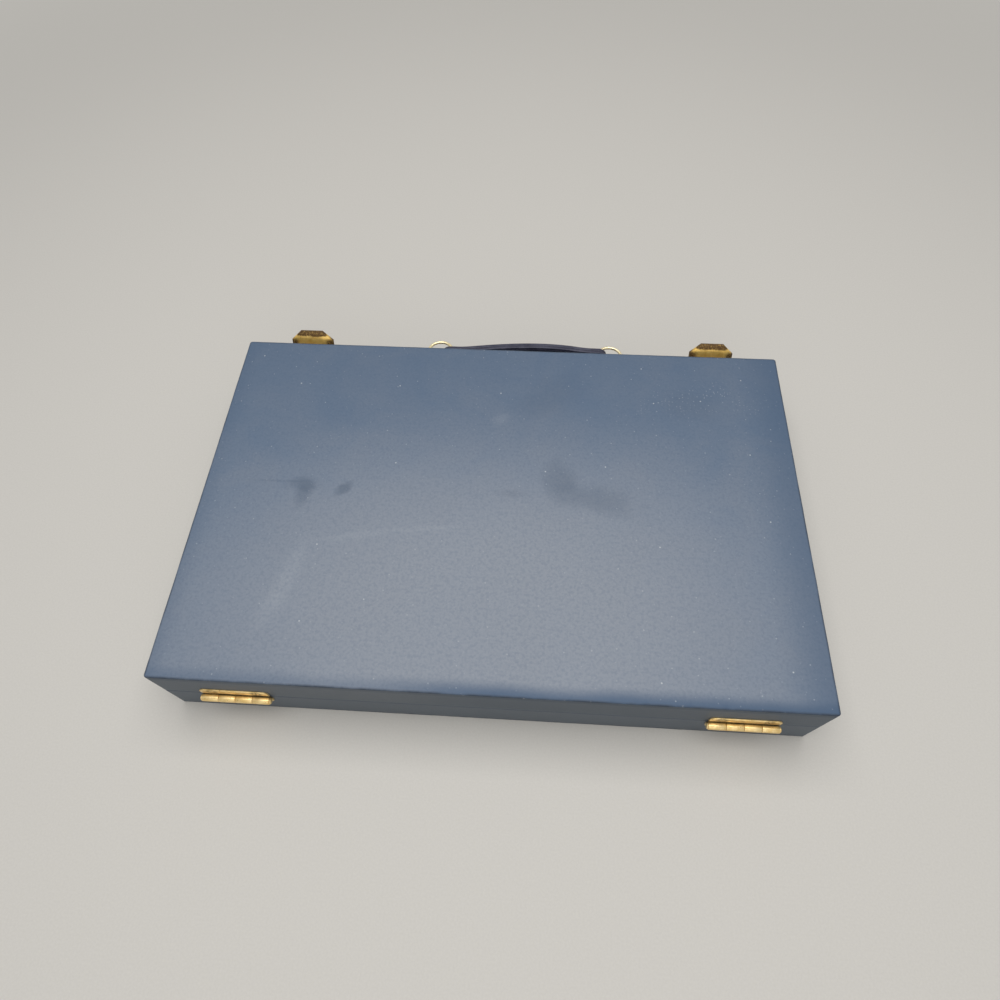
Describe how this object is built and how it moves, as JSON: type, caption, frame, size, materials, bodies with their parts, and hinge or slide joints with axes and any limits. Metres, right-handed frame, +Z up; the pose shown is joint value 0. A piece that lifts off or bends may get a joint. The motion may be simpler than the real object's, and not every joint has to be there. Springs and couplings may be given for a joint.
{
  "type": "travel backgammon set",
  "caption": "Folding backgammon case in dark blue leatherette with brass hinges and clasps, a ring handle, an inlaid board and stored checkers, cups and dice.",
  "frame": {"origin": "middle of the shut case's underside", "axes": "+X along the hinges, +Y towards the clasps and the handle, +Z up through the lid"},
  "size_m": [0.381, 0.2772, 0.0545],
  "materials": {
    "wood": "planed softwood",
    "leatherette": "matte slate-blue leatherette",
    "felt": "felt",
    "points_dark": "dark inlay",
    "points_light": "light inlay",
    "divider_cover": "leatherette",
    "flock": "flocked",
    "checker_dark": "polished",
    "checker_light": "polished",
    "cup_leather": "stitched leatherette",
    "ivory": "polished",
    "strap_leather": "dark navy leather",
    "brass": "tarnished brass plate"
  },
  "bodies": {
    "base": {"base_back_rail": "wood", "base_clasp_screws": "brass", "base_divider": "divider_cover", "base_front_rail": "wood", "base_hinge_screws": "brass", "base_left_rail": "wood", "base_outer_sheet": "leatherette", "base_panel": "wood", "base_playing_board": "felt", "base_points_dark": "points_dark", "base_points_light": "points_light", "base_right_rail": "wood", "base_side_wrap": "leatherette", "checkers_dark": "checker_dark", "checkers_light": "checker_light", "clasp_left_catch": "brass", "clasp_right_catch": "brass", "cup_lining_left": "flock", "cup_lining_right": "flock", "dice_cup_left": "cup_leather", "dice_cup_right": "cup_leather", "dice_left": "ivory", "dice_right": "ivory", "doubling_cube": "ivory", "hinge_left_base_leaf": "brass", "hinge_left_pin": "brass", "hinge_right_base_leaf": "brass", "hinge_right_pin": "brass", "storage_bed": "flock"},
    "lid": {"clasp_left_pin": "brass", "clasp_left_plate": "brass", "clasp_right_pin": "brass", "clasp_right_plate": "brass", "handle_staple_left": "brass", "handle_staple_right": "brass", "hinge_left_lid_leaf": "brass", "hinge_right_lid_leaf": "brass", "lid_back_rail": "wood", "lid_clasp_screws": "brass", "lid_divider": "divider_cover", "lid_front_rail": "wood", "lid_hinge_screws": "brass", "lid_left_rail": "wood", "lid_outer_sheet": "leatherette", "lid_panel": "wood", "lid_playing_board": "felt", "lid_points_dark": "points_dark", "lid_points_light": "points_light", "lid_right_rail": "wood", "lid_side_wrap": "leatherette", "lid_storage_lining": "flock"},
    "hasp_left": {"clasp_left_hasp": "brass"},
    "hasp_right": {"clasp_right_hasp": "brass"},
    "handle": {"handle_eyelets": "brass", "handle_ring_left": "brass", "handle_ring_right": "brass", "handle_strap_inner": "strap_leather", "handle_strap_outer": "strap_leather"}
  },
  "joints": [
    {"name": "lid_hinge", "type": "hinge", "parent": "base", "child": "lid", "pos_m": [0, -0.1273, 0.02725], "axis": [1, 0, 0], "range_deg": [0, 180]},
    {"name": "left_hasp_hinge", "type": "hinge", "parent": "lid", "child": "hasp_left", "pos_m": [-0.1475, 0.1282, 0.033], "axis": [1, 0, 0], "range_deg": [-155, 10]},
    {"name": "right_hasp_hinge", "type": "hinge", "parent": "lid", "child": "hasp_right", "pos_m": [0.1475, 0.1282, 0.033], "axis": [1, 0, 0], "range_deg": [-155, 10]},
    {"name": "handle_swing", "type": "hinge", "parent": "lid", "child": "handle", "pos_m": [0.01125, 0.1289, 0.0365], "axis": [1, 0, 0], "range_deg": [-40, 60]}
  ]
}
